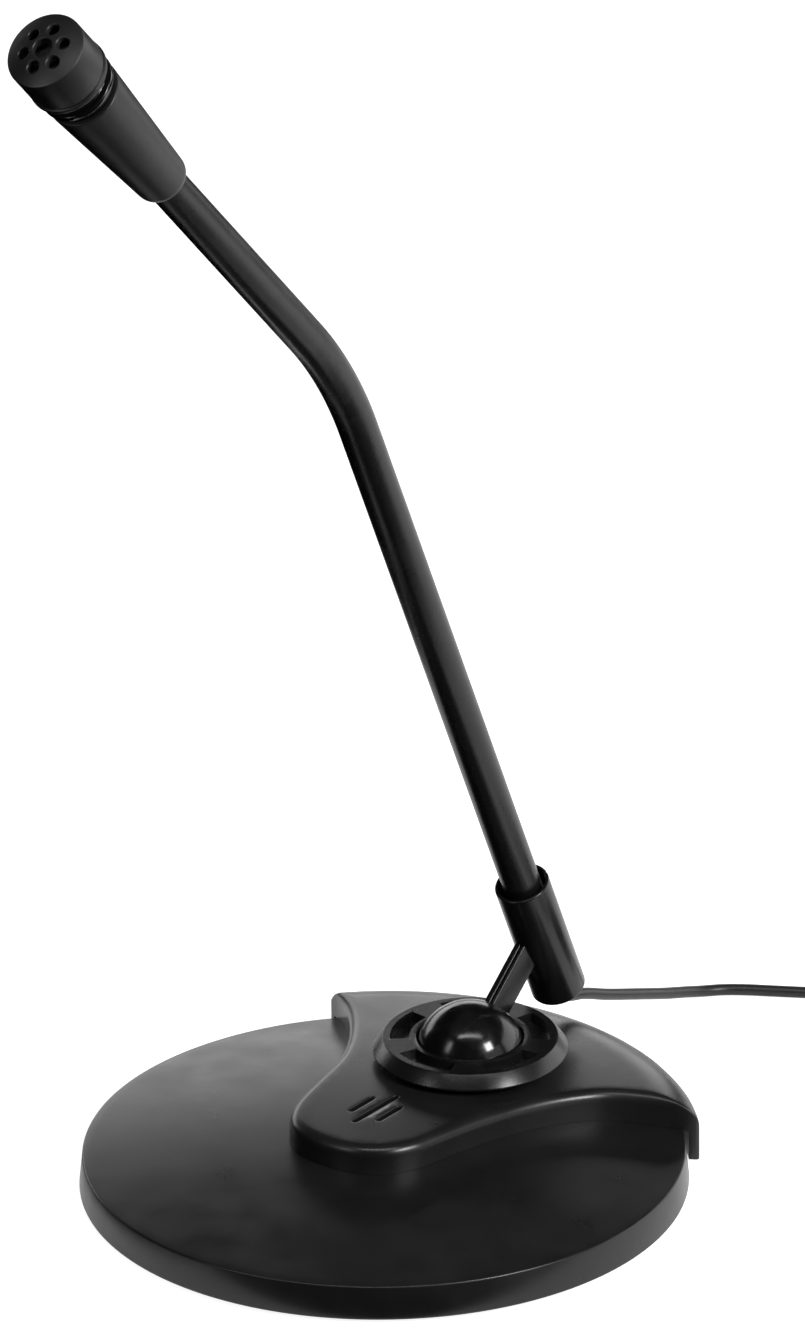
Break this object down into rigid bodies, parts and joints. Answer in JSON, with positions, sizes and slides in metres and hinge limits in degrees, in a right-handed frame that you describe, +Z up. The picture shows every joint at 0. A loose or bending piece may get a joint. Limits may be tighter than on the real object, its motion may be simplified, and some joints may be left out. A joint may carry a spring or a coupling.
{
  "type": "gooseneck desktop microphone",
  "caption": "Slim gooseneck microphone on a round weighted desk base: the stem stands in a sleeve on a ball joint and carries a tapered condenser head; thin lead with a jack plug.",
  "frame": {"origin": "centre of the non-slip pad's underside, on the desk", "axes": "+Z up, -Y the microphone's front, where the stem leans and the head points"},
  "size_m": [0.1306, 0.221, 0.2566],
  "materials": {
    "base_plastic": "fine matte texture, moulded",
    "deck_plastic": "fine matte texture, moulded",
    "ring_plastic": "satin",
    "ball_plastic": "polished gloss",
    "holder_plastic": "semi-gloss",
    "stem_sheath": "smooth satin sheath over a metal gooseneck",
    "head_plastic": "satin black",
    "collar_gloss": "gloss",
    "soft_black": "matt",
    "cord_jacket": "semi-matt PVC jacket",
    "plug_plastic": "satin moulded",
    "plated": "nickel plated",
    "steel": "bare"
  },
  "bodies": {
    "base": {"non_slip_pad": "soft_black", "bottom_plate": "base_plastic", "ballast_weight": "steel", "base_cover": "base_plastic", "deck_cover": "deck_plastic", "ball_seat": "ring_plastic", "base_screw_1": "steel", "base_screw_2": "steel", "base_screw_3": "steel", "base_screw_4": "steel", "cord": "cord_jacket", "cord_coil": "cord_jacket", "coil_tie": "soft_black", "cord_end": "cord_jacket", "plug_boot": "plug_plastic", "plug_grip": "plug_plastic", "plug_barrel": "plated", "plug_insulator": "plug_plastic", "plug_tip": "plated"},
    "swivel": {"swivel_ring": "ring_plastic"},
    "holder": {"ball": "ball_plastic", "holder": "holder_plastic", "stem_bush": "soft_black"},
    "stem": {"stem_lower": "stem_sheath", "lead_lower": "cord_jacket"},
    "neck_1": {"neck_link_1": "stem_sheath"},
    "neck_2": {"neck_link_2": "stem_sheath"},
    "neck_3": {"neck_link_3": "stem_sheath"},
    "neck_4": {"neck_link_4": "stem_sheath"},
    "head": {"stem_upper": "stem_sheath", "head_sleeve": "head_plastic", "groove_collar": "collar_gloss", "head_cap": "head_plastic", "dust_screen": "soft_black", "capsule_boot": "soft_black", "mic_capsule": "plated", "lead_upper": "cord_jacket"}
  },
  "joints": [
    {"name": "swivel", "type": "hinge", "parent": "base", "child": "swivel", "pos_m": [0, 0.026, 0.0159], "axis": [0, 0, 1], "range_deg": [-45, 45]},
    {"name": "tilt", "type": "hinge", "parent": "swivel", "child": "holder", "pos_m": [0, 0.026, 0.0159], "axis": [1, 0, 0], "range_deg": [-3, 30], "deforming": ["cord"]},
    {"name": "stem_twist", "type": "hinge", "parent": "holder", "child": "stem", "pos_m": [0, 0.0528, 0.0195], "axis": [0, -0.3971, 0.9178], "range_deg": [-90, 90]},
    {"name": "neck_bend_1", "type": "hinge", "parent": "stem", "child": "neck_1", "pos_m": [0, -0.00578, 0.15487], "axis": [1, 0, 0], "range_deg": [-4, 9]},
    {"name": "neck_bend_2", "type": "hinge", "parent": "neck_1", "child": "neck_2", "pos_m": [0, -0.00829, 0.15976], "axis": [1, 0, 0], "range_deg": [-4, 9]},
    {"name": "neck_bend_3", "type": "hinge", "parent": "neck_2", "child": "neck_3", "pos_m": [0, -0.01112, 0.16448], "axis": [1, 0, 0], "range_deg": [-4, 9]},
    {"name": "neck_bend_4", "type": "hinge", "parent": "neck_3", "child": "neck_4", "pos_m": [0, -0.01425, 0.169], "axis": [1, 0, 0], "range_deg": [-4, 9]},
    {"name": "neck_bend_5", "type": "hinge", "parent": "neck_4", "child": "head", "pos_m": [0, -0.01767, 0.17331], "axis": [1, 0, 0], "range_deg": [-4, 9]}
  ],
  "couplings": [
    {"joint": "neck_bend_2", "follows": "neck_bend_1", "ratio": 1},
    {"joint": "neck_bend_3", "follows": "neck_bend_1", "ratio": 1},
    {"joint": "neck_bend_4", "follows": "neck_bend_1", "ratio": 1},
    {"joint": "neck_bend_5", "follows": "neck_bend_1", "ratio": 1}
  ]
}
